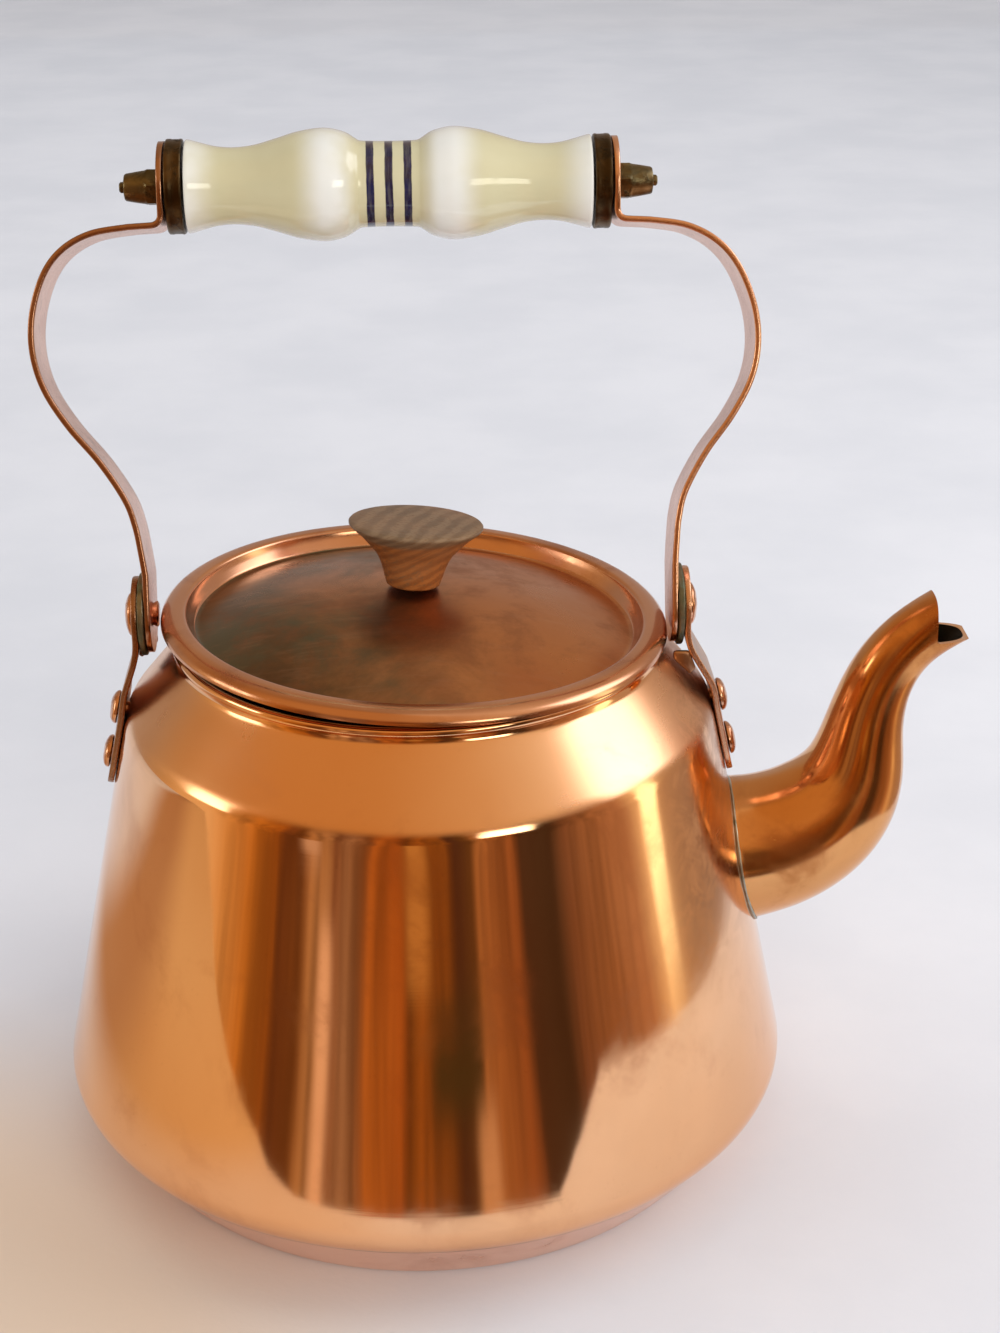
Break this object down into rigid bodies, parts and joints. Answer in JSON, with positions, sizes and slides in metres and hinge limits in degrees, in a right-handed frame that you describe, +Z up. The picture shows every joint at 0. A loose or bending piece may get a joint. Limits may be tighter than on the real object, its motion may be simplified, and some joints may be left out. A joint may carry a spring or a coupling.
{
  "type": "stovetop kettle",
  "caption": "Copper stovetop kettle with a conical body, gooseneck spout, loose lid with a turned wooden knob, and a swinging bail handle with a porcelain grip.",
  "frame": {"origin": "centre of the flat bottom the kettle stands on", "axes": "+Z up, +X towards the spout, the bail turns about a line along X"},
  "size_m": [0.2568, 0.2084, 0.2827],
  "materials": {
    "copper": "polished copper",
    "lid_copper": "satin tarnished copper",
    "strip_copper": "satin copper",
    "old_brass": "dark patina",
    "steel": "dull",
    "tin": "dull solder",
    "verdigris": "brass gone green with verdigris",
    "porcelain": "glazed porcelain, cream with three blue bands",
    "wood": "oiled turned hardwood"
  },
  "bodies": {
    "body": {"body_shell": "copper", "base_pan": "copper", "spout": "copper", "spout_solder_seam": "tin", "bracket_right": "strip_copper", "pivot_rivet_right": "strip_copper", "pivot_washer_right": "verdigris", "body_rivet_right_upper": "strip_copper", "body_rivet_right_lower": "strip_copper", "bracket_left": "strip_copper", "pivot_rivet_left": "strip_copper", "pivot_washer_left": "verdigris", "body_rivet_left_upper": "strip_copper", "body_rivet_left_lower": "strip_copper"},
    "lid": {"lid_pan": "lid_copper", "lid_knob": "wood", "knob_screw": "steel", "knob_washer": "steel"},
    "bail": {"strap_right": "strip_copper", "strap_left": "strip_copper", "ferrule_right": "old_brass", "ferrule_left": "old_brass", "tie_rod": "steel", "cap_nut_right": "old_brass", "cap_nut_left": "old_brass"},
    "grip": {"grip_porcelain": "porcelain"}
  },
  "joints": [
    {"name": "bail_swing", "type": "hinge", "parent": "body", "child": "bail", "pos_m": [0, 0, 0.1578], "axis": [1, 0, 0], "range_deg": [-68, 102]},
    {"name": "lid_lift", "type": "slide", "parent": "body", "child": "lid", "axis": [0, 0, 1], "range_m": [0, 0.07]},
    {"name": "grip_turn", "type": "hinge", "parent": "bail", "child": "grip", "pos_m": [-0.0053, 0.0336, 0.2677], "axis": [1, 0, 0], "continuous": true}
  ]
}
